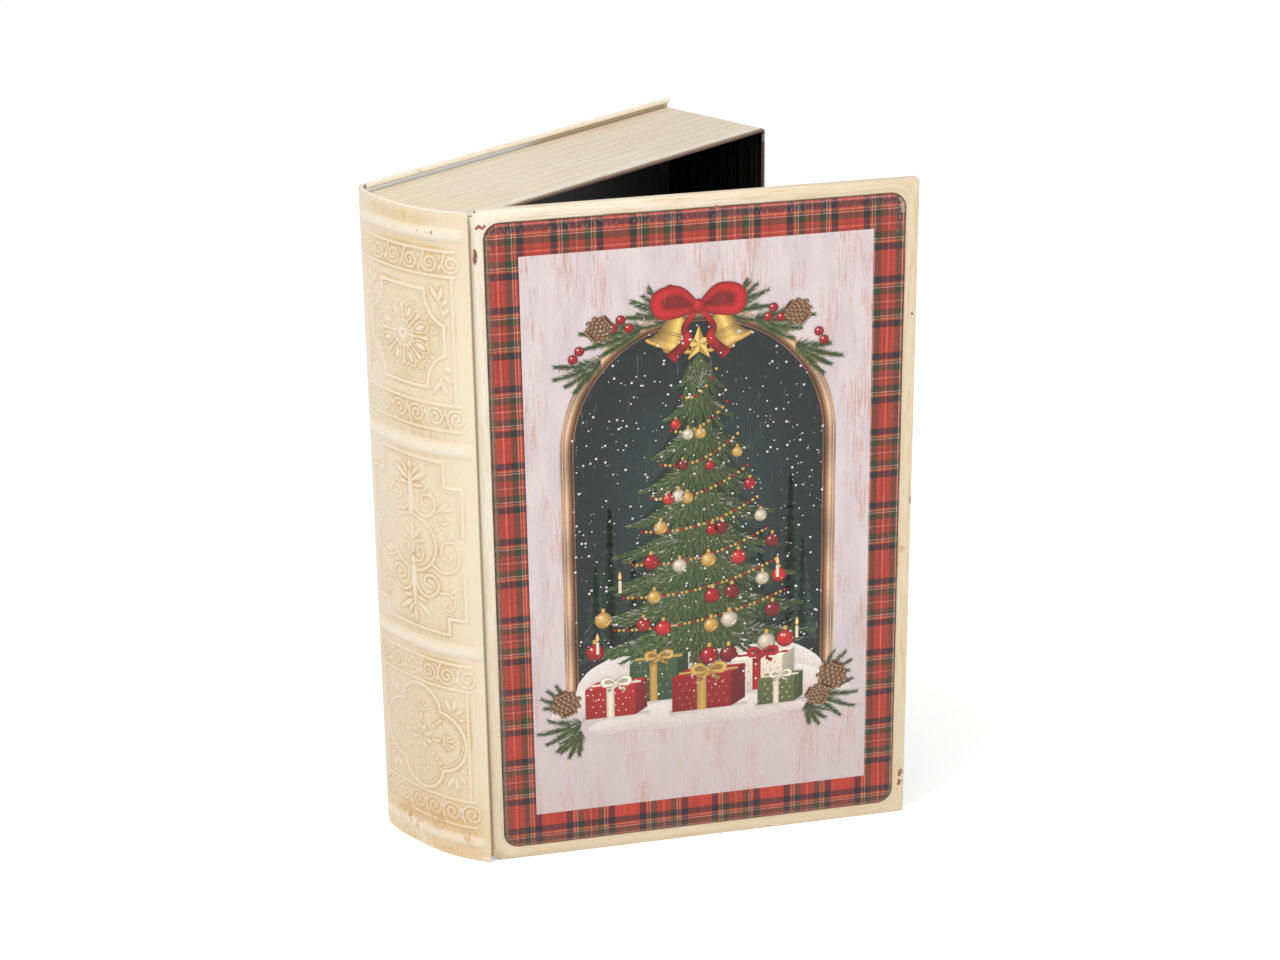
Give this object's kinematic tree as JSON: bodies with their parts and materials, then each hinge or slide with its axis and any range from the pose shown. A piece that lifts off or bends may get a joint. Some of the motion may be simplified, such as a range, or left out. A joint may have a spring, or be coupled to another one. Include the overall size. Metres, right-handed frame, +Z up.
{
  "type": "book-shaped tin box",
  "caption": "Hinged tinplate box in the shape of a book, with an embossed rounded spine, a raised front cover panel as the lid and ribbed page edges as the walls.",
  "frame": {"origin": "centre of the footprint of the whole box as it stands part open, on the floor plane under its tail edges", "axes": "+Z up from the tail to the head of the book, +Y out of the back cover, +X from the spine to the fore-edge"},
  "size_m": [0.1788, 0.1541, 0.27],
  "materials": {
    "cream_paint": "satin cream enamel on embossed tinplate",
    "page_paint": "satin pale beige enamel on ribbed tinplate",
    "lid_print": "satin printed tinplate",
    "steel_wire": "drawn wire",
    "tinplate": "bare tinplate"
  },
  "bodies": {
    "case": {"spine_and_back": "cream_paint", "page_edges": "page_paint", "hinge_strap_1": "tinplate", "hinge_strap_2": "tinplate", "hinge_strap_3": "tinplate", "hinge_strap_4": "tinplate"},
    "lid": {"lid": "lid_print", "hinge_wire": "steel_wire"}
  },
  "joints": [
    {"name": "lid_hinge", "type": "hinge", "parent": "case", "child": "lid", "pos_m": [-0.0777, 0.01999, 0.135], "axis": [0, 0, -1], "range_deg": [-34.2, 65.8]}
  ]
}
